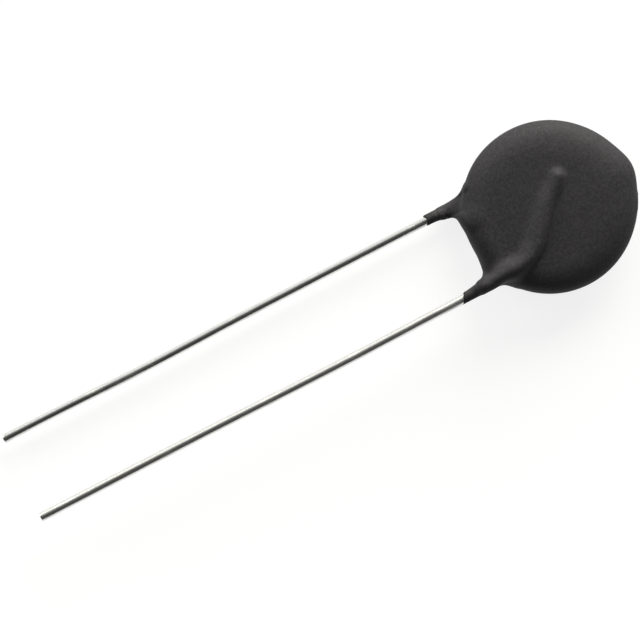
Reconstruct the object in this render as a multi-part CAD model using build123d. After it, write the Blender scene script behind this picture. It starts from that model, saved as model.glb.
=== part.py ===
from build123d import *
import os
from math import atan2, cos, sin

# A radial leaded thermistor: a sintered disc with a silver electrode and a soldered wire lead on
# each face, dipped in a coating that runs a little way down both leads. It lies flat with its
# leads towards -X, and the front lead is the one on the upper face. All sizes are millimetres.

# Sintered disc and its electrodes
DISC_D = 13.2
DISC_T = 2.8
ELECTRODE_T = 0.03
ELECTRODE_MARGIN = 0.35

# Leads: each steps in towards the mid-plane where it leaves the disc, and turns on its electrode
LEAD_D = 0.8
LEAD_PITCH = 7.5
LEAD_LENGTH = 43.3
LEAD_TIP_BEVEL = 0.1
LEAD_CORNER_X = 3.4
LEAD_BEND_R = 2.5
LEAD_REACH = 3.0
STEP_HEIGHT = 0.6
STEP_LENGTH = 1.4
STEP_FROM_RIM = 0.45
STEP_BEND_R = 1.2

# Solder under and beside each lead
SOLDER_W = 2.0
SOLDER_FILM = 0.05
SOLDER_WET_SLOPE = 0.35
SOLDER_OVER_AXIS = 0.02
SOLDER_INTO_LEAD = 0.04

# Coating over the disc, with a drip opposite the leads and a web between them
COAT_RIM = 0.88
COAT_FACE = 0.52
COAT_RIM_FLAT = 0.3
COAT_FLOW_R = 0.6
DRIP_REACH = 0.49
DRIP_R = 3.6
WEB_REACH = 0.02
WEB_CORNER_R = 2.3
WEB_PAST_LEAD = 0.05

# Coating over the leads: a ridge on each face that thins along a leg to a bare wire
COAT_OVER_LEAD = 0.32
RIDGE_RUN_IN = 0.8
RIDGE_EASE = 0.03
LEG_WALL_STEP_IN = 0.24
LEG_WALL_MID_STEP = 0.16
LEG_WALL_STEP_OUT = 0.1
LEG_WALL_END = 0.05
LEG_STEP_EASE = 0.05
FRONT_LEG = 2.82
REAR_LEG = 2.38

# Levels above the mid-plane
FACE_Z = DISC_T / 2
ELECTRODE_Z = FACE_Z + ELECTRODE_T
COAT_Z = ELECTRODE_Z + COAT_FACE
COAT_ROUND = COAT_Z - COAT_RIM_FLAT / 2
LEAD_R = LEAD_D / 2
LEAD_Z = ELECTRODE_Z + SOLDER_FILM + LEAD_R
FREE_Z = LEAD_Z - STEP_HEIGHT
RIDGE_R = LEAD_R + COAT_OVER_LEAD

# Places measured from the disc's centre
ELECTRODE_R = DISC_D / 2 - ELECTRODE_MARGIN
COAT_R = DISC_D / 2 + COAT_RIM
LEAD_Y = LEAD_PITCH / 2
STEP_IN_X = -(COAT_R + STEP_FROM_RIM)
STEP_OUT_X = STEP_IN_X - STEP_LENGTH
TIP_X = -(COAT_R + LEAD_LENGTH)
DRIP_X = COAT_R + DRIP_REACH

# The object lies on the crest of its rear ridge, and its origin is under the middle of its box
CENTRE_X = -(TIP_X + DRIP_X) / 2
CENTRE_Z = LEAD_Z + RIDGE_R


def lead_end():
    """The point past the disc's centre where the front lead stops on its electrode."""
    turn = atan2(LEAD_Y, LEAD_CORNER_X)
    return (LEAD_REACH * cos(turn), LEAD_REACH * sin(turn), LEAD_Z)


def across_lead(x, z, radius):
    """A round section square to the front lead's straight run, its seam on the disc's side."""
    return Plane((x, -LEAD_Y, z), x_dir=(0, 0, -1), z_dir=(1, 0, 0)) * Circle(radius)


def face_route(start_x):
    """The front lead's route along its electrode, from start_x to its end."""
    return FilletPolyline(
        (start_x, -LEAD_Y, LEAD_Z),
        (-LEAD_CORNER_X, -LEAD_Y, LEAD_Z),
        lead_end(),
        radius=LEAD_BEND_R,
    )


def make_electrode():
    """Fired silver layer on the front face, short of the disc's edge all round."""
    return Pos(0, 0, FACE_Z + ELECTRODE_T / 2) * Cylinder(ELECTRODE_R, ELECTRODE_T)


def make_lead():
    """Front lead: free run, step out to the electrode's level, and bend to the disc's centre."""
    route = FilletPolyline(
        (TIP_X, -LEAD_Y, FREE_Z),
        (STEP_OUT_X, -LEAD_Y, FREE_Z),
        (STEP_IN_X, -LEAD_Y, LEAD_Z),
        (-LEAD_CORNER_X, -LEAD_Y, LEAD_Z),
        lead_end(),
        radius=[STEP_BEND_R, STEP_BEND_R, LEAD_BEND_R],
    )
    wire = sweep(across_lead(TIP_X, FREE_Z, LEAD_R), path=route)
    tip_edge = wire.edges().filter_by(GeomType.CIRCLE).sort_by(Axis.X)[0]
    return chamfer(tip_edge, LEAD_TIP_BEVEL)


def make_solder():
    """Solder under and beside the front lead, hollow flanked and only where there is silver."""
    start_x = -COAT_R
    foot = SOLDER_W / 2
    grip = LEAD_R - SOLDER_INTO_LEAD
    axis_z = SOLDER_FILM + LEAD_R
    rise = axis_z + SOLDER_OVER_AXIS
    outline = Curve() + [
        Line((-foot, 0), (foot, 0)),
        TangentArc((foot, 0), (grip, rise), tangent=(-1, SOLDER_WET_SLOPE)),
        Line((grip, rise), (-grip, rise)),
        TangentArc((-foot, 0), (-grip, rise), tangent=(1, SOLDER_WET_SLOPE)),
    ]
    section = make_face(outline) - Pos(0, axis_z) * Circle(LEAD_R)
    section_plane = Plane((start_x, -LEAD_Y, ELECTRODE_Z), x_dir=(0, 1, 0), z_dir=(1, 0, 0))
    bead = sweep(section_plane * section, path=face_route(start_x))
    silvered = Pos(0, 0, ELECTRODE_Z + LEAD_D / 2) * Cylinder(ELECTRODE_R, LEAD_D)
    return bead & silvered


def coat_body():
    """Coating round the disc, from the taut outline of disc, drip and web, with full round rims."""
    corner_x = WEB_CORNER_R - COAT_R - WEB_REACH
    corner_y = LEAD_Y + LEAD_R + WEB_PAST_LEAD - WEB_CORNER_R
    rounds = Sketch() + [
        Circle(COAT_R),
        Pos(DRIP_X - DRIP_R, 0) * Circle(DRIP_R),
        Pos(corner_x, corner_y) * Circle(WEB_CORNER_R),
        Pos(corner_x, -corner_y) * Circle(WEB_CORNER_R),
    ]
    outline = make_face(make_hull(rounds.edges()))
    slab = Pos(0, 0, -COAT_Z) * extrude(outline, 2 * COAT_Z)
    levels = slab.edges().group_by(Axis.Z)
    return fillet(levels[0] + levels[-1], COAT_ROUND)


def coat_ridge(leg):
    """Coating over the front lead: a round ridge on the face and a leg that thins past the rim."""
    ridge_x = STEP_IN_X + RIDGE_RUN_IN
    stations = [
        (-(COAT_R + leg), FREE_Z, LEAD_R + LEG_WALL_END),
        (STEP_OUT_X, FREE_Z + LEG_STEP_EASE, LEAD_R + LEG_WALL_STEP_OUT),
        ((STEP_OUT_X + STEP_IN_X) / 2, (FREE_Z + LEAD_Z) / 2, LEAD_R + LEG_WALL_MID_STEP),
        (STEP_IN_X, LEAD_Z - LEG_STEP_EASE, LEAD_R + LEG_WALL_STEP_IN),
        ((STEP_IN_X + ridge_x) / 2, LEAD_Z, RIDGE_R - RIDGE_EASE),
        (ridge_x, LEAD_Z, RIDGE_R),
    ]
    leg_skin = loft([across_lead(x, z, radius) for x, z, radius in stations])
    ridge = sweep(across_lead(ridge_x, LEAD_Z, RIDGE_R), path=face_route(ridge_x))
    return leg_skin + ridge + Pos(*lead_end()) * Sphere(RIDGE_R)


def coat_skin():
    """Outer form of the coating, which flows from both faces up to the ridges and out to the legs."""
    skin = coat_body()
    for leg, turn in ((FRONT_LEG, 0), (REAR_LEG, 180)):
        ridge = Rot(turn, 0, 0) * coat_ridge(leg)
        joined = skin + ridge
        skin = fillet(new_edges(skin, ridge, combined=joined), COAT_FLOW_R)
    return skin


electrode = make_electrode()
lead = make_lead()
solder = make_solder()
to_rear = Rot(180, 0, 0)
pieces = {
    "ceramic_disc": Cylinder(DISC_D / 2, DISC_T),
    "front_electrode": electrode,
    "rear_electrode": to_rear * electrode,
    "front_lead": lead,
    "rear_lead": to_rear * lead,
    "front_solder": solder,
    "rear_solder": to_rear * solder,
}
# The coating is its outer form less everything that it was dipped over
pieces["coating"] = coat_skin() - list(pieces.values())

os.makedirs("parts", exist_ok=True)
for name, piece in pieces.items():
    export_step(Pos(CENTRE_X, 0, CENTRE_Z) * piece, f"parts/{name}.step")
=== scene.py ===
import bpy
import numpy as np
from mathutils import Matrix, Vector


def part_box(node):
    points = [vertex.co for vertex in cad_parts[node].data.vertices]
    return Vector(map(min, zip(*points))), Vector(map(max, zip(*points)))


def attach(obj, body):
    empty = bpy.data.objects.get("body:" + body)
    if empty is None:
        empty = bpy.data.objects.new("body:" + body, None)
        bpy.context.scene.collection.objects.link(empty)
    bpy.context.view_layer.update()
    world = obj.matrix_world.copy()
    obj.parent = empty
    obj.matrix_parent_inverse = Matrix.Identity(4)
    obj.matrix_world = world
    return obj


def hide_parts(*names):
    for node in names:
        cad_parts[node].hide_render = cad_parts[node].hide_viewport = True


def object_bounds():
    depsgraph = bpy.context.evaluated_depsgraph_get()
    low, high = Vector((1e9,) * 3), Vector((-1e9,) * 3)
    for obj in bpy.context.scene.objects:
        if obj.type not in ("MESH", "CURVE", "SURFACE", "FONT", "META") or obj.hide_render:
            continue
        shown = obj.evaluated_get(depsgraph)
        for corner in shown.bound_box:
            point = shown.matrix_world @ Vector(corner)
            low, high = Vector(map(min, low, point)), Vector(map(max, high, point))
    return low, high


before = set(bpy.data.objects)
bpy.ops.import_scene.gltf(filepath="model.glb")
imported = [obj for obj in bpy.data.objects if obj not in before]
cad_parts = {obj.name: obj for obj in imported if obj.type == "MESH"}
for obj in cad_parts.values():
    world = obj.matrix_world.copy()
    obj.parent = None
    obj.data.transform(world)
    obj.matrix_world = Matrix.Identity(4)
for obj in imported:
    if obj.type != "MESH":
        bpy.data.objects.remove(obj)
CAD_LOW, CAD_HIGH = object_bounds()

# Lengths in this file are millimetres from the disc's centre, until row_frame() turns them into
# metres in the row frame. The front lead is the one on the upper face, towards -Y. A function that
# takes a leg works in the front one's frame, and the rear one's shape is turned half round X.
# Where something changes from one place to another, the two places are a pair.
MM = 0.001
NEARLY_ZERO = 0.01
DISC_LOW, DISC_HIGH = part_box("ceramic_disc")
DISC_CENTRE = (DISC_LOW + DISC_HIGH) / 2

# Leads, with the levels of their axis on the disc and on the free run. The tips lie a little beyond
# the frame's own.
LEAD_R = 0.4
LEAD_Z = 1.88
FREE_Z = 1.28
TIP_BEYOND = 0.25
LEAD_TIP_X = (CAD_LOW.x - DISC_CENTRE.x) / MM - TIP_BEYOND
STEP_IN_X = -7.93
STEP_OUT_X = -9.33
ONTO_RUN_X = (-7.8, -5.6)
TIP_ROUND = 0.14
TIP_RINGS = 7
LEAD_AROUND = 48
LEAD_SPACING = 0.3
STEP_POINTS = 16
RUN_POINTS = 12
BEND_POINTS = 16

# Solder under and beside each lead, as far as the silver goes
SILVER_R = 6.25
SOLDER_Z = 1.43
SOLDER_HALF_W = 1.0
SOLDER_OVER_AXIS = 0.02
SOLDER_HOLLOW = (0.12, 0.1)
SOLDER_POINTS = 10
SOLDER_SHORT = 0.1
SOLDER_END = 0.9
SOLDER_END_DRAWN = 0.7

# Coating over the disc. The dome, the drip and its shoulder are (size, spread), and the swell and
# the places where the rim is narrower (size, bearing, spread). The rim's width is the least one
# and what there is more on the drip's side.
COAT_R = 7.48
COAT_Z = 1.86
DOME = (0.18, 4.6)
RIM_WIDTH = (2.9, 0.9)
RIM_NARROWER = ((1.2, 3.3, 0.6), (0.3, 4.1, 0.4))
RIM_POWER = 2.4
ROUND_SCALE = 2.1
DRIP = (0.36, 0.227)
DRIP_SHOULDER = (0.13, 0.628)
SWELL = (0.09, 2.25, 0.45)
WEB_X = -7.44
WEB_HALF_Y = 4.3
WEB_CORNER_R = 2.5
WEB_FLOW = 0.2

# Coating over the leads, and how widely the skin flows up to it: on its left and its right side,
# each before and after the bend, at its root and at its end
CREST_WALL = 0.3
CREST_DROP = 0.34
CREST_NARROWS = (3.0, 9.0)
CREST_SINKS = 0.12
ONTO_FACE_X = (-7.0, -5.0)
LEFT_FLOW = (0.8, 1.2)
LEFT_CHANGES = (0.3, 2.4)
RIGHT_FLOW = (1.2, 0.2)
RIGHT_CHANGES = (-0.9, 1.4)
RIGHT_TO_LEFT = (-0.6, 0.9)
ROOT_FLOW = 1.0
ROOT_X = (-6.8, -5.4)
END_FLOW = 0.8
BEFORE_END = (2.4, 0.4)

# Skin that closes the corner between a leg and the rim
CORNER_HALF_Z = 0.42
CORNER_DEEPER = 1.3
CORNER_ROUND = 0.4
CORNER_INSET = 0.1
CORNER_FLOW = 0.45
CORNER_MIX = 0.15
CORNER_FADE = 0.6
CORNER_GONE_X = ((-8.5, -9.2), (-5.8, -4.8))
CORNER_GONE_BESIDE = (1.3, 3.0)

# The coating's uneven edge on the wire: waves of (size, number, start) round it
RAGGED = ((0.03, 3, 1.0), (0.018, 7, 2.5))

# The coating's grid
AROUND = 360
FACE_RINGS = 54
RIM_RINGS = 40
RIM_GRID = 2.5
CAST_DEPTH = 0.15
BLOCK_COLUMNS = (198, 222)
BLOCK_ROWS = (60, 78)
ROOT_RINGS = 18
LEG_RINGS = 30
LIP_RINGS = 7
LIP_LENGTH = 0.12
BORE_DEPTHS = (0.05625, 0.45)
LEG_START_X = -8.7
OUTLINE_REACH = (0.5, 1.3)
OUTLINE_ROUNDS = 30

# How the grid is evened out: only near the legs, and on their first rings
RELAX_ROUNDS = 24
RELAX_X = (-4.5, -5.5)
RELAX_RINGS = 20
FREE_OF_BODY_X = -9.3

# Leads and legs. A lead turns at its corner, with radius bend_r, to its end over the electrode.
# Its free run lies free_y to tip_y from the mid-line, with a bow of (size, x, spread). Walls are
# coating beside the wire on the side of the web and on the outer side, thin and thick, and grow
# between two places. Flows join these sides to the rim. The rest says where the coating stops.
LEGS = {
    "front": {
        "turn": 1,
        "corner": (-3.36, -3.33),
        "bend_r": 3.8,
        "end": (1.59, 2.01),
        "free_y": 3.61,
        "tip_y": 3.67,
        "bow": (0.11, -22.5, 9.0),
        "inner_wall": (0.11, 0.345),
        "inner_grows": (-10.0, -8.0),
        "outer_wall": (0.02, 0.13),
        "outer_grows": (-7.6, -5.6),
        "inner_flow": 2.05,
        "outer_flow": 1.5,
        "end_x": -10.27,
        "end_slope": 0.22,
        "end_notch": 0.02,
    },
    "rear": {
        "turn": -1,
        "corner": (-3.4, -3.75),
        "bend_r": 2.5,
        "end": (2.02, 2.22),
        "free_y": 3.80,
        "tip_y": 3.79,
        "bow": (-0.12, -37.0, 6.5),
        "inner_wall": (0.03, 0.24),
        "inner_grows": (-9.6, -7.6),
        "outer_wall": (0.13, 0.29),
        "outer_grows": (-8.0, -5.6),
        "inner_flow": 1.8,
        "outer_flow": 1.4,
        "end_x": -9.95,
        "end_slope": -0.04,
        "end_notch": 0.07,
    },
}


def row_frame(points):
    """Points in millimetres from the disc's centre, as metres in the row frame."""
    return np.asarray(points) * MM + np.array(DISC_CENTRE)


def ease(low, high, value):
    """Runs from 0 at low to 1 at high along the cubic 3t^2 - 2t^3."""
    t = np.clip((value - low) / (high - low), 0, 1)
    return t * t * (3 - 2 * t)


def between(first, second, share):
    """The value that lies that share of the way from first to second."""
    return first + (second - first) * share


def flow_together(a, b, flow):
    """The lesser of two distances a and b, less (flow - |a - b|)^2 / 4 flow where they differ by
    less than flow."""
    near = np.maximum(flow - np.abs(a - b), 0)
    return np.minimum(a, b) - near * near / (4 * flow)


def disc_outline(bearing):
    """Radius of the dipped disc: round, with a drip that hangs off the side away from the leads."""
    drip = DRIP[0] * np.exp(-(bearing / DRIP[1]) ** 2)
    shoulder = DRIP_SHOULDER[0] * np.exp(-(bearing / DRIP_SHOULDER[1]) ** 4)
    swell = SWELL[0] * np.exp(-((bearing - SWELL[1]) / SWELL[2]) ** 2)
    return COAT_R + drip + shoulder + swell


def plan_distance(x, y):
    """Distance outside the coating's outline seen from above, which is the disc flowed into the
    straight web between the legs, a rectangle with rounded corners."""
    disc = np.hypot(x, y) - disc_outline(np.arctan2(y, x))
    past_x = np.abs(x - WEB_X / 2) + WEB_X / 2 + WEB_CORNER_R
    past_y = np.abs(y) - WEB_HALF_Y + WEB_CORNER_R
    beyond = np.hypot(np.maximum(past_x, 0), np.maximum(past_y, 0))
    web = beyond + np.minimum(np.maximum(past_x, past_y), 0) - WEB_CORNER_R
    return flow_together(disc, web, WEB_FLOW)


def rim_width(x, y):
    """Width of the rounded rim, which is widest beside the drip and narrower where RIM_NARROWER
    says, by an amount at a bearing."""
    towards_drip = (1 + x / np.maximum(np.hypot(x, y), NEARLY_ZERO)) / 2
    width = RIM_WIDTH[0] + RIM_WIDTH[1] * towards_drip**2
    bearing = np.arctan2(y, x) % (2 * np.pi)
    for less, middle, spread in RIM_NARROWER:
        width = width - less * np.exp(-(((bearing - middle) / spread) ** 2))
    return width


def body_field(x, y, z):
    """About the distance outside the coated disc: slightly domed faces that run out into a rim
    whose section is a superellipse, reach^p + |z / height|^p = 1, carried round the outline."""
    reach = np.maximum(1 + plan_distance(x, y) / rim_width(x, y), 0)
    height = COAT_Z + DOME[0] * np.exp(-(x * x + y * y) / DOME[1] ** 2)
    rounded = (reach**RIM_POWER + np.abs(z / height) ** RIM_POWER) ** (1 / RIM_POWER)
    return ROUND_SCALE * (rounded - 1)


def lead_level(x):
    """Height of the front lead's axis at x, and how much its slope stretches an upright section."""
    share = np.clip((x - STEP_OUT_X) / (STEP_IN_X - STEP_OUT_X), 0, 1)
    rise = LEAD_Z - FREE_Z
    slope = rise / (STEP_IN_X - STEP_OUT_X) * 6 * share * (1 - share)
    return FREE_Z + rise * share * share * (3 - 2 * share), np.sqrt(1 + slope**2)


class Route:
    """A lead's way over its electrode in plan: a straight, an arc and a straight to its end."""

    def __init__(self, leg):
        corner_x, self.run_y = leg["corner"]
        self.end = leg["end"]
        self.turn = np.arctan2(self.end[1] - self.run_y, self.end[0] - corner_x)
        self.bend_r = leg["bend_r"]
        self.arc_x = corner_x - self.bend_r * np.tan(self.turn / 2)
        self.arc_y = self.run_y + self.bend_r
        self.arc_length = self.bend_r * self.turn
        self.out = self.on_arc(self.turn)
        last = np.hypot(self.end[0] - self.out[0], self.end[1] - self.out[1])
        self.length = self.arc_length + last

    def on_arc(self, turned):
        """The arc's point where the route has turned by an angle."""
        x = self.arc_x + self.bend_r * np.sin(turned)
        return x, self.arc_y - self.bend_r * np.cos(turned)

    def along(self, x, y):
        """How far along the route from the arc's start a point lies, and how far to its left."""
        first = np.stack([x - self.arc_x, y - self.run_y])
        from_arc = np.hypot(x - self.arc_x, y - self.arc_y)
        turned = np.arctan2(x - self.arc_x, self.arc_y - y)
        arc = np.stack([self.bend_r * turned, self.bend_r - from_arc])
        off_x, off_y = x - self.out[0], y - self.out[1]
        past = off_x * np.cos(self.turn) + off_y * np.sin(self.turn)
        left = off_y * np.cos(self.turn) - off_x * np.sin(self.turn)
        last = np.stack([self.arc_length + past, left])
        return np.where(x < self.arc_x, first, np.where(past > 0, last, arc))


def axis_y(x, leg):
    """How far the lead's axis lies from the mid-line at x: even from the tip to the rim but for a
    slight bow, and from there over to its run on the electrode."""
    along = np.clip((x - STEP_OUT_X) / (LEAD_TIP_X - STEP_OUT_X), 0, 1)
    bow, middle, spread = leg["bow"]
    free = between(leg["free_y"], leg["tip_y"], along)
    free = free + bow * np.exp(-(((x - middle) / spread) ** 2))
    return between(free, -leg["corner"][1], ease(*ONTO_RUN_X, x))


def leg_walls(x, leg):
    """Coating beside the wire at x, on the side of the web and on the outer side."""
    walls = []
    for side in ("inner", "outer"):
        walls.append(between(*leg[side + "_wall"], ease(*leg[side + "_grows"], x)))
    return walls


def leg_shape(x, leg):
    """Where the middle of the leg's coating is and its radius, which grow into those of the crest
    on the face."""
    inner, outer = leg_walls(x, leg)
    onto_face = ease(*ONTO_FACE_X, x)
    wall = between((inner + outer) / 2, CREST_WALL, onto_face)
    lean = (inner - outer) / 2 * (1 - onto_face)
    return lean - axis_y(x, leg), LEAD_R + wall


def with_ridge(skin, x, y, z, leg):
    """The skin flowed together with the coating over the front lead, a tube about its route that
    narrows towards the wire's cut end. Past the bend the skin comes up to the tube in a wide sweep
    on its left side, and closely on its right side."""
    level, stretch = lead_level(x)
    middle, radius = leg_shape(x, leg)
    route = Route(leg)
    along, across = route.along(x, y - middle + route.run_y)
    narrower = ease(*CREST_NARROWS, along)
    radius = radius - CREST_DROP * narrower
    level = level + (CREST_DROP - CREST_SINKS) * narrower
    past_end = np.maximum(along - route.length, 0)
    tube = np.sqrt(across**2 + past_end**2 + ((z - level) / stretch) ** 2) - radius
    left = between(*LEFT_FLOW, ease(*LEFT_CHANGES, along))
    right = between(*RIGHT_FLOW, ease(*RIGHT_CHANGES, along))
    flow = between(right, left, ease(*RIGHT_TO_LEFT, across))
    near_end = ease(route.length - BEFORE_END[0], route.length - BEFORE_END[1], along)
    flow = between(flow, END_FLOW, near_end)
    flow = between(ROOT_FLOW, flow, ease(*ROOT_X, x))
    return flow_together(skin, tube, flow)


def corner_field(x, y, z, leg):
    """About the distance outside the skin between leg and rim. In plan it fills the outline of the
    body flowed into the leg. Its middle goes from the wire's level at the leg down to the rim, and
    on the way it gets deeper towards the far face."""
    inner, outer = leg_walls(x, leg)
    across = y + axis_y(x, leg)
    beside = np.abs(across - (inner - outer) / 2) - LEAD_R - (inner + outer) / 2
    flow = between(leg["outer_flow"], leg["inner_flow"], ease(-LEAD_R, LEAD_R, across))
    body = plan_distance(x, y)
    outline = flow_together(body, beside, flow)
    off_leg = np.maximum(beside, 0) + CORNER_MIX
    off_body = np.maximum(body, 0) + CORNER_MIX
    to_leg = off_body / (off_leg + off_body)
    deeper = CORNER_DEEPER * (1 - to_leg)
    middle = lead_level(x)[0] * to_leg - deeper / 2
    half = CORNER_HALF_Z + deeper / 2
    reach = np.maximum(1 + (outline + CORNER_INSET) / CORNER_ROUND, 0)
    field = CORNER_HALF_Z * (np.hypot(reach, (z - middle) / half) - 1)
    gone = ease(*CORNER_GONE_X[0], x) + ease(*CORNER_GONE_X[1], x)
    return field + CORNER_FADE * (gone + ease(*CORNER_GONE_BESIDE, beside))


def coat_field(points):
    """About the distance outside the coating: the body flowed together with both ridges, and with
    the skin in the corner beside each leg."""
    x, y, z = points[..., 0], points[..., 1], points[..., 2]
    skin = body_field(x, y, z)
    for leg in LEGS.values():
        turn = leg["turn"]
        turned = (x, turn * y, turn * z)
        skin = with_ridge(skin, *turned, leg)
        skin = flow_together(skin, corner_field(*turned, leg), CORNER_FLOW)
    return skin


def slope_of(field, points, step=0.001):
    """Gradient of a field by central differences."""
    moves = step * np.eye(3)
    return np.stack([field(points + m) - field(points - m) for m in moves], -1) / (2 * step)


def onto(field, points, rounds=3):
    """Newton steps that bring points onto the surface where the field is zero."""
    for _ in range(rounds):
        slope = slope_of(field, points)
        square = np.maximum((slope**2).sum(-1), NEARLY_ZERO)
        points = points - (field(points) / square)[..., None] * slope
    return points


def cast(field, points, directions, reach=1.6, tries=33):
    """Where rays from points along directions first leave the field's solid."""
    steps = np.linspace(0, reach, tries)
    values = np.stack([field(points + step * directions) for step in steps])
    leaves = (values[:-1] < 0) & (values[1:] >= 0)
    first = leaves.argmax(0)
    near = np.take_along_axis(values, first[None], 0)[0]
    far = np.take_along_axis(values, first[None] + 1, 0)[0]
    share = np.where(leaves.any(0), near / np.where(near == far, 1, near - far), 0)
    away = np.where(leaves.any(0), (first + share) * steps[1], 0)
    return points + away[..., None] * directions


def outline_radius(bearing):
    """Radius of the plan outline at each bearing, by halving the interval that holds it."""
    low = np.full_like(bearing, COAT_R * OUTLINE_REACH[0])
    high = np.full_like(bearing, COAT_R * OUTLINE_REACH[1])
    for _ in range(OUTLINE_ROUNDS):
        middle = (low + high) / 2
        inside = plan_distance(middle * np.cos(bearing), middle * np.sin(bearing)) < 0
        low = np.where(inside, middle, low)
        high = np.where(inside, high, middle)
    return (low + high) / 2


def body_grid():
    """Rows from the front face's centre over the rim to the rear face's centre. On a face the
    radius grows evenly, and on the rim the row's tilt goes evenly from upright to flat and on."""
    bearing = np.arange(AROUND) * 2 * np.pi / AROUND
    edge = outline_radius(bearing)
    share = np.arange(1, FACE_RINGS + 1) / FACE_RINGS
    tilt = np.pi * (0.5 - np.arange(1, RIM_RINGS) / RIM_RINGS)
    face = share[:, None] * (edge - RIM_GRID)
    rim = edge - RIM_GRID + RIM_GRID * np.cos(tilt)[:, None]
    radius = np.concatenate([face, rim, face[::-1]])
    upright = np.full(FACE_RINGS, np.pi / 2)
    tilts = np.concatenate([upright, tilt, -upright])[:, None] + 0 * radius
    out = np.stack([np.cos(bearing) + 0 * radius, np.sin(bearing) + 0 * radius], -1)
    points = np.dstack([radius[..., None] * out, (COAT_Z - CAST_DEPTH) * np.sin(tilts)])
    directions = np.dstack([np.cos(tilts)[..., None] * out, np.sin(tilts)])
    return cast(coat_field, points, directions)


def block_loop(rows, turn):
    """Row and column of each grid point round the block that a leg grows from, the same way round
    as the leg's rings. The rear leg's block is the front one's, turned about the X axis."""
    top, bottom = BLOCK_ROWS
    first, last = BLOCK_COLUMNS
    down = np.arange(top, bottom)
    back = np.arange(last, first, -1)
    row = np.concatenate([0 * back + top, down, 0 * back + bottom, bottom - (down - top)])
    column = np.concatenate([back, 0 * down + first, first + (last - back), 0 * down + last])
    if turn < 0:
        return rows - 1 - row, -column % AROUND
    return row, column


def leg_end(bearing, leg):
    """Where the coating stops along the wire, at each bearing round it: a sloping, uneven edge."""
    ragged = sum(size * np.sin(waves * bearing + start) for size, waves, start in RAGGED)
    notch = leg["end_notch"] * np.cos(2 * bearing - np.pi)
    return leg["end_x"] + leg["end_slope"] * np.cos(bearing) + notch + ragged


def leg_grid(loop_points, leg):
    """Rings from the block's edge out to the leg's end, over its lip and into the bore round the
    wire. Up to LEG_START_X the rings run straight from the block's points to an even ring; past
    it they are a tube about the lead's axis."""
    count = len(loop_points)
    columns = BLOCK_COLUMNS[1] - BLOCK_COLUMNS[0]
    start = np.pi / 2 + np.pi * columns / count
    bearing = start - 2 * np.pi * np.arange(count) / count
    stop = leg_end(bearing, leg)

    def ring(x, cover=1.0):
        """A ring at x whose coating is that share of the leg's, and the wire's own surface at 0."""
        level, stretch = lead_level(x)
        middle, radius = leg_shape(x, leg)
        bare = -axis_y(x, leg)
        radius = LEAD_R + cover * (radius - LEAD_R)
        y = bare + cover * (middle - bare) + radius * np.cos(bearing)
        return np.stack([x, y, level + stretch * radius * np.sin(bearing)], -1)

    first = ring(np.full(count, LEG_START_X))
    share = (np.arange(1, ROOT_RINGS + 1) / ROOT_RINGS)[:, None, None]
    root = loop_points + share * (first - loop_points)
    share = (np.arange(1, LEG_RINGS + 1) / LEG_RINGS)[:, None]
    tube = ring(LEG_START_X + share * (stop + LIP_LENGTH - LEG_START_X))
    round_off = (np.arange(1, LIP_RINGS + 1) / LIP_RINGS * np.pi / 2)[:, None]
    edge = ring(stop + LIP_LENGTH * (1 - np.sin(round_off)), np.cos(round_off))
    bore = ring(np.stack([stop + depth for depth in BORE_DEPTHS]), 0.0)
    return np.concatenate([root, tube, edge, bore])


def strip_quads(ids):
    """Four-sided faces between the rows of a grid of point numbers, closed round its columns."""
    right = np.roll(ids, -1, axis=1)
    return np.stack([ids[:-1], ids[1:], right[1:], right[:-1]], -1)


def fan(centre, ring):
    """Triangles from a centre point to a ring, the same way round as strip_quads() from it."""
    return np.stack([np.full(len(ring), centre), ring, np.roll(ring, -1)], -1)


def relax(points, quads, loose, rounds):
    """Evens out the grid: each loose point of a face moves halfway to the mean of its neighbours,
    then back onto the coating's surface."""
    ends = np.concatenate([quads[:, [a, (a + 1) % 4]] for a in range(4)])
    ends = np.concatenate([ends, ends[:, ::-1]])
    neighbours = np.bincount(ends[:, 0], minlength=len(points))
    moving = np.flatnonzero((loose > 0) & (neighbours > 0))
    weight = loose[moving, None] * 0.5
    for _ in range(rounds):
        sums = [np.bincount(ends[:, 0], points[ends[:, 1], k], len(points)) for k in range(3)]
        mean = np.stack(sums, -1)[moving] / neighbours[moving, None]
        points[moving] += weight * (mean - points[moving])
        points[moving] = onto(coat_field, points[moving], 1)
    points[moving] = onto(coat_field, points[moving], 3)
    return points


def keep_used(points, faces):
    """Drops the points that no face uses, and numbers the rest afresh."""
    used = np.unique(np.concatenate([f.ravel() for f in faces]))
    number = np.zeros(len(points), int)
    number[used] = np.arange(len(used))
    return points[used], [number[f] for f in faces]


def new_object(name, data):
    """An object in the scene for a mesh, a camera or a lamp."""
    made = bpy.data.objects.new(name, data)
    bpy.context.scene.collection.objects.link(made)
    return made


def new_piece(name, points, faces, replaced, material):
    """A smooth-shaded mesh object at the origin that stands for a CAD node and rides with it."""
    mesh = bpy.data.meshes.new(name)
    mesh.from_pydata(row_frame(points).tolist(), [], [f for part in faces for f in part.tolist()])
    mesh.validate()
    mesh.shade_smooth()
    mesh.materials.append(material)
    piece = new_object(name, mesh)
    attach(piece, "root")
    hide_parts(replaced)


def turned_to(leg):
    """What a point of the front leg's frame is multiplied by to turn it to that leg."""
    return np.array([1, leg["turn"], leg["turn"]])


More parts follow.
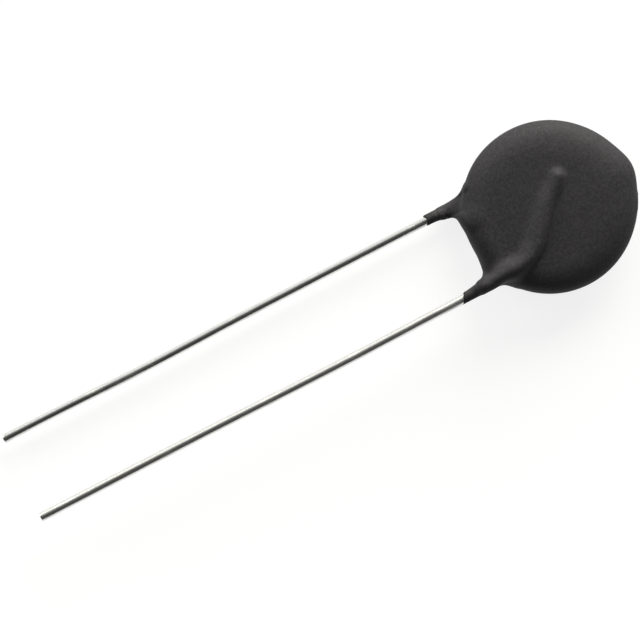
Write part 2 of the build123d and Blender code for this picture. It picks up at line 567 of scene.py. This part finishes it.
def make_coating(material):
    """The dipped coating as one closed skin, with a bore at each leg where the wire comes out."""
    body = body_grid()
    rows = len(body)
    ids = np.arange(rows * AROUND).reshape(rows, AROUND)
    cells = np.ones((rows - 1, AROUND), bool)
    points = [body.reshape(-1, 3), body[[0, -1]].mean(1)]
    count = rows * AROUND + 2
    loose = [ease(*RELAX_X, body[..., 0]).ravel(), np.zeros(2)]
    quads = []
    triangles = [fan(count - 2, ids[0]), fan(count - 1, ids[-1])[:, ::-1]]
    for leg in LEGS.values():
        row, column = block_loop(rows, leg["turn"])
        leg_points = leg_grid(body[row, column] * turned_to(leg), leg) * turned_to(leg)
        rings, ring = leg_points.shape[:2]
        own = count + np.arange(rings * ring).reshape(rings, ring)
        loop = np.concatenate([ids[row, column][None], own])
        quads.append(strip_quads(loop[:, ::-1]).reshape(-1, 4))
        triangles.append(fan(count + rings * ring, loop[-1]))
        points += [leg_points.reshape(-1, 3), leg_points[-1].mean(0)[None]]
        free = np.where(leg_points[..., 0] > FREE_OF_BODY_X, 1.0, 0.0)
        free[RELAX_RINGS:] = 0
        loose += [free.ravel(), np.zeros(1)]
        count += rings * ring + 1
        low_row, high_row = sorted((row.min(), row.max()))
        low_column, high_column = sorted((column.min(), column.max()))
        cells[low_row:high_row, low_column:high_column] = False
    quads.append(strip_quads(ids)[cells])
    points = np.concatenate([np.asarray(p, float) for p in points])
    quads = np.concatenate(quads)
    points = relax(points, quads, np.concatenate(loose), RELAX_ROUNDS)
    points, faces = keep_used(points, [quads, np.concatenate(triangles)])
    new_piece("coating_skin", points, faces, "coating", material)


def lead_axis(leg):
    """Points along a lead's axis: the free run, the step, the run on the electrode, the bend and
    the last run to its end."""
    free = np.arange(LEAD_TIP_X, STEP_OUT_X, LEAD_SPACING)
    step = np.linspace(STEP_OUT_X, STEP_IN_X, STEP_POINTS)
    route = Route(leg)
    run = np.linspace(STEP_IN_X, route.arc_x, RUN_POINTS)[1:]
    x = np.concatenate([free, step, run])
    straight = np.stack([x, -axis_y(x, leg), lead_level(x)[0]], -1)
    turned = route.turn * np.arange(1, BEND_POINTS + 1) / BEND_POINTS
    arc = np.stack([*route.on_arc(turned), LEAD_Z + 0 * turned], -1)
    end = np.array([*route.end, LEAD_Z])
    last = arc[-1] + np.linspace(0, 1, RUN_POINTS)[1:, None] * (end - arc[-1])
    return np.concatenate([straight, arc, last])


def ways_along(axis):
    """At each point of an axis, the directions along it, to its left and up from it."""
    along = np.gradient(axis, axis=0)
    along /= np.linalg.norm(along, axis=1)[:, None]
    left = np.cross([0, 0, 1], along)
    left /= np.linalg.norm(left, axis=1)[:, None]
    return along, left, np.cross(along, left)


def tube_faces(rings):
    """Faces round a tube of rings, closed by fans from two points that follow the rings' own."""
    count = rings.shape[0] * rings.shape[1]
    ids = np.arange(count).reshape(rings.shape[:2])
    ends = np.concatenate([fan(count, ids[0])[:, ::-1], fan(count + 1, ids[-1])])
    return [strip_quads(ids)[..., ::-1].reshape(-1, 4), ends]


def make_lead(name, leg, material):
    """The wire as a round profile carried along its axis, with its cut tip rounded off."""
    axis = lead_axis(leg)
    along, left, up = ways_along(axis)
    bearing = np.arange(LEAD_AROUND) * 2 * np.pi / LEAD_AROUND
    circle = np.cos(bearing)[:, None] * left[:, None] + np.sin(bearing)[:, None] * up[:, None]
    tube = axis[:, None] + LEAD_R * circle
    turned = np.linspace(0, np.pi / 2, TIP_RINGS)[:, None, None]
    inset = TIP_ROUND * (1 - np.sin(turned)) * along[0]
    tip = axis[0] + inset + (LEAD_R - TIP_ROUND * (1 - np.cos(turned))) * circle[0]
    rings = np.concatenate([tip[::-1], tube[1:]])
    points = np.concatenate([rings.reshape(-1, 3), axis[[0, -1]]]) * turned_to(leg)
    new_piece(name + "_wire", points, tube_faces(rings), name, material)


def solder_section():
    """Half of the bead's section: from the foot on the silver up a hollow flank, the quadratic
    curve (1-t)^2 foot + 2t(1-t) corner + t^2 top, to the wire's side, and on round the groove to
    its bottom."""
    axis_z = LEAD_Z - SOLDER_Z
    t = np.linspace(0, 1, SOLDER_POINTS)[:, None]
    lift = np.arcsin(SOLDER_OVER_AXIS / LEAD_R)
    foot = np.array([SOLDER_HALF_W, 0])
    corner = np.array([LEAD_R + SOLDER_HOLLOW[0], SOLDER_HOLLOW[1]])
    top = LEAD_R * np.array([np.cos(lift), np.sin(lift)]) + [0, axis_z]
    flank = (1 - t) ** 2 * foot + 2 * t * (1 - t) * corner + t * t * top
    turned = np.linspace(lift, -np.pi / 2, SOLDER_POINTS + 1)[1:, None]
    groove = LEAD_R * np.concatenate([np.cos(turned), np.sin(turned)], 1) + [0, axis_z]
    return np.concatenate([flank, groove])


def make_solder(name, leg, material):
    """The bead as that section carried along the lead's axis from the silver's edge to the lead's
    end, with its feet drawn in to the wire over the last stretch at each end."""
    axis = lead_axis(leg)
    axis = axis[np.hypot(axis[:, 0], axis[:, 1]) < SILVER_R - SOLDER_SHORT]
    left = ways_along(axis)[1]
    half = solder_section()
    section = np.concatenate([half, half[-2::-1] * [-1, 1]])
    travelled = np.concatenate([[0], np.cumsum(np.linalg.norm(np.diff(axis, axis=0), axis=1))])
    from_end = np.minimum(travelled, travelled[-1] - travelled)
    spread = np.sqrt(np.clip(1 - (1 - np.minimum(from_end / SOLDER_END, 1)) ** 2, 0, 1))
    flare = np.maximum(np.abs(section[:, 0]) - LEAD_R, 0) * np.sign(section[:, 0])
    out = section[:, 0] - (1 - spread[:, None]) * flare * SOLDER_END_DRAWN
    base = np.array([0, 0, SOLDER_Z]) + axis * [1, 1, 0]
    rings = base[:, None] + out[..., None] * left[:, None] + section[:, 1, None] * [0, 0, 1]
    points = np.concatenate([rings.reshape(-1, 3), rings[[0, -1]].mean(1)]) * turned_to(leg)
    new_piece(name + "_bead", points, tube_faces(rings), name, material)


class Socket:
    """A shader node's output. Sums and products of sockets and numbers add Math nodes."""

    def __init__(self, nodes, output):
        self.nodes = nodes
        self.output = output

    def maths(self, operation, first, second):
        return self.nodes.add("Math", {"operation": operation}, {0: first, 1: second})

    def __add__(self, other):
        return self.maths("ADD", self, other)

    def __radd__(self, other):
        return self.maths("ADD", other, self)

    def __sub__(self, other):
        return self.maths("SUBTRACT", self, other)

    def __rsub__(self, other):
        return self.maths("SUBTRACT", other, self)

    def __mul__(self, other):
        return self.maths("MULTIPLY", self, other)

    def __rmul__(self, other):
        return self.maths("MULTIPLY", other, self)

    def __pow__(self, other):
        return self.maths("POWER", self, other)

    def at_least(self, other):
        return self.maths("MAXIMUM", self, other)


class Nodes:
    """The node tree of a material or of the world."""

    def __init__(self, owner):
        owner.use_nodes = True
        self.tree = owner.node_tree
        self.tree.nodes.clear()

    def add(self, kind, settings, sockets, output=0):
        """Adds a node, with its settings first and then its sockets' values or links, and returns
        one of its outputs where it has any."""
        node = self.tree.nodes.new("ShaderNode" + kind)
        for name, value in settings.items():
            setattr(node, name, value)
        for name, value in sockets.items():
            if isinstance(value, Socket):
                self.tree.links.new(value.output, node.inputs[name])
            else:
                node.inputs[name].default_value = value
        return Socket(self, node.outputs[output]) if node.outputs else None

    def place(self, scale=(1, 1, 1), turn=(0, 0, 0)):
        """The object's own coordinates in metres, turned and then stretched."""
        own = self.add("TexCoord", {}, {}, "Object")
        return self.add("Mapping", {}, {"Vector": own, "Rotation": turn, "Scale": scale})

    def own_axis(self, axis):
        """One of the object's own coordinates in metres."""
        own = self.add("TexCoord", {}, {}, "Object")
        return self.add("SeparateXYZ", {}, {"Vector": own}, axis)

    def noise(self, grain_mm, detail=2, place=None):
        """Cloudy noise from 0 to 1 whose blotches are about that many millimetres apart."""
        sockets = {"Vector": place or self.place(), "Scale": 1 / (grain_mm * MM), "Detail": detail}
        return self.add("TexNoise", {}, sockets)

    def fade(self, value, low, high):
        """0 where the value is at low and 1 at high, eased between."""
        settings = {"interpolation_type": "SMOOTHSTEP"}
        return self.add("MapRange", settings, {"Value": value, "From Min": low, "From Max": high})

    def tint(self, factor, first, second):
        """A mix of two colours."""
        return self.add("Mix", {"data_type": "RGBA"}, {0: factor, 6: first, 7: second}, 2)

    def bump(self, height, depth_mm, normal=None):
        """A normal bent by a height from 0 to 1 that stands for that many millimetres."""
        sockets = {"Height": height, "Strength": 1.0, "Distance": depth_mm * MM}
        if normal:
            sockets["Normal"] = normal
        return self.add("Bump", {}, sockets)

    def surface(self, tone, roughness, normal, **constants):
        """The finished surface, with constants for the shader's other sockets."""
        sockets = {"Base Color": tone, "Roughness": roughness, "Normal": normal, **constants}
        shader = self.add("BsdfPrincipled", {}, sockets)
        self.add("OutputMaterial", {}, {"Surface": shader})


def new_finish(name):
    """A material and its empty node tree."""
    material = bpy.data.materials.new(name)
    return material, Nodes(material)


# Colours of the finishes
RESIN_DARK = (0.0143, 0.0132, 0.015, 1)
RESIN_PALE = (0.0422, 0.039, 0.0438, 1)
RESIN_SPECK = (0.10, 0.098, 0.094, 1)
RESIN_THIN = (0.0165, 0.0161, 0.0162, 1)
WIRE_BRIGHT = (0.84, 0.84, 0.815, 1)
WIRE_DULL = (0.68, 0.68, 0.66, 1)
OXIDE_DARK = (0.075, 0.071, 0.067, 1)
OXIDE_PALE = (0.11, 0.104, 0.098, 1)
OXIDE_PORE = (0.04, 0.038, 0.036, 1)
SILVER_DULL = (0.74, 0.73, 0.70, 1)
SILVER_BRIGHT = (0.84, 0.83, 0.80, 1)
SOLDER_DULL = (0.55, 0.55, 0.56, 1)
SOLDER_BRIGHT = (0.66, 0.66, 0.67, 1)

# Where the resin turns thin towards the wires' tips, and across which the wires turn from less to
# more handled: metres in the row frame
RESIN_THINS_X = (0.0126, 0.0114)
WIRE_HANDLED_Y = (0.001, -0.001)


def dipped_resin():
    """Matt black resin: a fine grain, slow unevenness from dipping, a few pale specks, and a
    rougher, darker stretch where it thins out on the wires."""
    material, nodes = new_finish("dipped_resin")
    grain = nodes.noise(0.17, 1)
    mottle = nodes.noise(0.8, 2)
    slow = nodes.noise(2.6, 1)
    specks = nodes.fade(nodes.noise(0.35, 0), 0.86, 0.92)
    thin = nodes.fade(nodes.own_axis("X"), *RESIN_THINS_X)
    ragged = nodes.noise(0.35, 2)
    blotch = nodes.fade(nodes.noise(0.32, 1), 0.3, 0.7)
    clouds = nodes.fade(grain, 0.25, 0.75) * 0.5 + blotch * 0.3 + mottle * 0.2
    tone = nodes.tint(clouds, RESIN_DARK, RESIN_PALE)
    tone = nodes.tint(specks, tone, RESIN_SPECK)
    tone = nodes.tint(thin * nodes.fade(ragged, 0.35, 0.6), tone, RESIN_THIN)
    roughness = 0.62 + mottle * 0.10 + grain * 0.06
    bumps = nodes.bump(slow, 0.05)
    bumps = nodes.bump(mottle, 0.012, bumps)
    bumps = nodes.bump(grain, 0.008, bumps)
    bumps = nodes.bump(ragged * thin, 0.03, bumps)
    nodes.surface(tone, roughness, bumps, **{"Specular IOR Level": 0.36})
    return material


def tinned_wire():
    """Bright tin over drawn copper: fine lines along the wire, cloudy dull spots and a slight
    unevenness of the tin."""
    material, nodes = new_finish("tinned_wire")
    drawn = nodes.noise(0.05, 2, nodes.place(scale=(0.02, 1, 1)))
    cloud = nodes.noise(1.4, 3, nodes.place(scale=(0.5, 1, 1)))
    dull = nodes.fade(cloud, 0.5, 0.75)
    handled = nodes.fade(nodes.own_axis("Y"), *WIRE_HANDLED_Y)
    tone = nodes.tint(dull * 0.6 + drawn * 0.4, WIRE_BRIGHT, WIRE_DULL)
    roughness = 0.2 + dull * 0.12 + drawn * 0.06 + handled * 0.08
    bumps = nodes.bump(nodes.noise(0.9, 1, nodes.place(scale=(0.4, 1, 1))), 0.012)
    bumps = nodes.bump(drawn, 0.0015, bumps)
    nodes.surface(tone, roughness, bumps, Metallic=1.0)
    return material


def sintered_ceramic():
    """Dark grey metal oxide, matt, with a fine pressed grain and a few pores."""
    material, nodes = new_finish("sintered_ceramic")
    grain = nodes.noise(0.12, 2)
    pores = nodes.fade(nodes.noise(0.4, 1), 0.7, 0.78)
    tone = nodes.tint(grain, OXIDE_DARK, OXIDE_PALE)
    tone = nodes.tint(pores, tone, OXIDE_PORE)
    roughness = 0.72 + grain * 0.16
    bumps = nodes.bump(grain - pores, 0.01)
    nodes.surface(tone, roughness, bumps)
    return material


def fired_silver():
    """Dull silver from a printed paste, with the weave of the screen still faint in it."""
    material, nodes = new_finish("fired_silver")
    grain = nodes.noise(0.08, 1)
    own = nodes.place(turn=(0, 0, 0.4))
    weave = [
        nodes.add("TexWave", {"bands_direction": way}, {"Vector": own, "Scale": 1500.0}, "Fac")
        for way in ("X", "Y")
    ]
    mesh_marks = weave[0] * weave[1]
    tone = nodes.tint(grain, SILVER_DULL, SILVER_BRIGHT)
    roughness = 0.42 + grain * 0.16
    bumps = nodes.bump(mesh_marks * 0.5 + grain, 0.003)
    nodes.surface(tone, roughness, bumps, Metallic=1.0)
    return material


def solder():
    """Reflowed solder: satin, with soft ripples and a frosty grain."""
    material, nodes = new_finish("solder")
    ripple = nodes.noise(0.6, 2)
    frost = nodes.noise(0.07, 1)
    tone = nodes.tint(frost, SOLDER_DULL, SOLDER_BRIGHT)
    roughness = 0.28 + frost * 0.16
    bumps = nodes.bump(ripple, 0.02)
    bumps = nodes.bump(frost, 0.002, bumps)
    nodes.surface(tone, roughness, bumps, Metallic=1.0)
    return material


def finish_inner(material, *nodes):
    """Gives their material to the CAD nodes that stay as they are, inside the coating."""
    for node in nodes:
        for slot in bpy.data.objects[node].material_slots:
            slot.material = material


# Camera, with its nearest and farthest view in its own distances
PHOTO_TURN = np.radians(27.27)
PHOTO_PIXELS = 640
PIXELS_PER_MM = 11.63
VIEW_WIDTH = PHOTO_PIXELS / PIXELS_PER_MM * MM
VIEW_CENTRE = Vector((-0.594 * MM, 0.403 * MM, DISC_CENTRE.z))
LENS = 200
SENSOR = 36
DISTANCE = VIEW_WIDTH * LENS / SENSOR
NEAREST = 0.01
FARTHEST = 50

# Floor and light. Glows are (bearing, elevation, strength, tightness) and lamps (name, bearing,
# elevation, strength, width), all angles are degrees, and a bearing is counted from the picture's
# right towards its top. The sky turns white from the first height of HORIZON down to the second.
FLOOR_HALF = 3.0
FLOOR_TONE = 0.25
FLOOR_GLOW = 0.83
SKY_BASE = 0.045
SKY_GLOWS = ((117, 22, 0.75, 4.0), (10, 35, 0.5, 8.0))
HORIZON = (0.3, 0.12)
LAMP_COLOUR = (1.0, 0.998, 0.925)
LAMPS = (("key", 76, 18, 4.9, 50), ("fill", 147, 20, 1.1, 35))


def add_camera():
    """The photo's camera, straight above the object and far enough away to look flat."""
    camera = bpy.data.cameras.new("camera")
    camera.lens = LENS
    camera.sensor_width = SENSOR
    camera.clip_start = DISTANCE * NEAREST
    camera.clip_end = DISTANCE * FARTHEST
    holder = new_object("camera", camera)
    holder.rotation_euler = (0, 0, -PHOTO_TURN)
    holder.location = VIEW_CENTRE + Vector((0, 0, DISTANCE))
    bpy.context.scene.camera = holder


def picture_way(bearing, elevation):
    """Direction to a place above the object, whose bearing is counted from the picture's right."""
    turn = np.radians(bearing) - PHOTO_TURN
    rise = np.radians(elevation)
    return Vector((np.cos(rise) * np.cos(turn), np.cos(rise) * np.sin(turn), np.sin(rise)))


def seen_directly(nodes):
    """1 for what the camera sees itself, in a mirror or through glass, and 0 for other light."""
    path = [
        nodes.add("LightPath", {}, {}, "Is " + kind + " Ray")
        for kind in ("Camera", "Glossy", "Transmission")
    ]
    return path[0] + path[1] + path[2]


def add_floor():
    """Pale floor that keeps a faint shadow, lifted to white where it is seen."""
    mesh = bpy.data.meshes.new("floor")
    signs = ((-1, -1), (1, -1), (1, 1), (-1, 1))
    corners = [(FLOOR_HALF * across, FLOOR_HALF * up, 0) for across, up in signs]
    mesh.from_pydata(corners, [], [(0, 1, 2, 3)])
    floor = new_object("floor", mesh)
    material, nodes = new_finish("floor")
    glow = seen_directly(nodes) * FLOOR_GLOW
    paint = nodes.add("BsdfDiffuse", {}, {"Color": (FLOOR_TONE, FLOOR_TONE, FLOOR_TONE, 1)})
    light = nodes.add("Emission", {}, {"Strength": glow})
    both = nodes.add("AddShader", {}, {0: paint, 1: light})
    nodes.add("OutputMaterial", {}, {"Surface": both})
    mesh.materials.append(material)


def add_world():
    """Soft studio sky: a dim room, wide glows given by SKY_GLOWS, and a white horizon as the
    floor's far end."""
    world = bpy.data.worlds.new("studio")
    bpy.context.scene.world = world
    nodes = Nodes(world)
    way = nodes.add("TexCoord", {}, {}, "Generated")
    level = SKY_BASE
    for bearing, elevation, strength, tightness in SKY_GLOWS:
        towards = {0: way, 1: picture_way(bearing, elevation)}
        facing = nodes.add("VectorMath", {"operation": "DOT_PRODUCT"}, towards, "Value")
        level = level + strength * facing.at_least(0.0) ** tightness
    height = nodes.add("SeparateXYZ", {}, {"Vector": way}, "Z")
    horizon = nodes.fade(height, *HORIZON) * seen_directly(nodes)
    level = level + horizon * (1.0 - level)
    sky = nodes.add("Background", {}, {"Strength": level})
    nodes.add("OutputWorld", {}, {"Surface": sky})


def add_lamp(name, bearing, elevation, strength, width):
    """A wide, soft and slightly warm lamp far away, width degrees across."""
    lamp = bpy.data.lights.new(name, "SUN")
    lamp.color = LAMP_COLOUR
    lamp.energy = strength
    lamp.angle = np.radians(width)
    holder = new_object(name, lamp)
    holder.rotation_euler = picture_way(bearing, elevation).to_track_quat("Z", "Y").to_euler()


wire_finish = tinned_wire()
make_coating(dipped_resin())
solder_finish = solder()
for side, leg in LEGS.items():
    make_lead(side + "_lead", leg, wire_finish)
    make_solder(side + "_solder", leg, solder_finish)
finish_inner(sintered_ceramic(), "ceramic_disc")
finish_inner(fired_silver(), "front_electrode", "rear_electrode")

for lamp in LAMPS:
    add_lamp(*lamp)
add_camera()
add_floor()
add_world()
bpy.context.scene.view_settings.view_transform = "Standard"
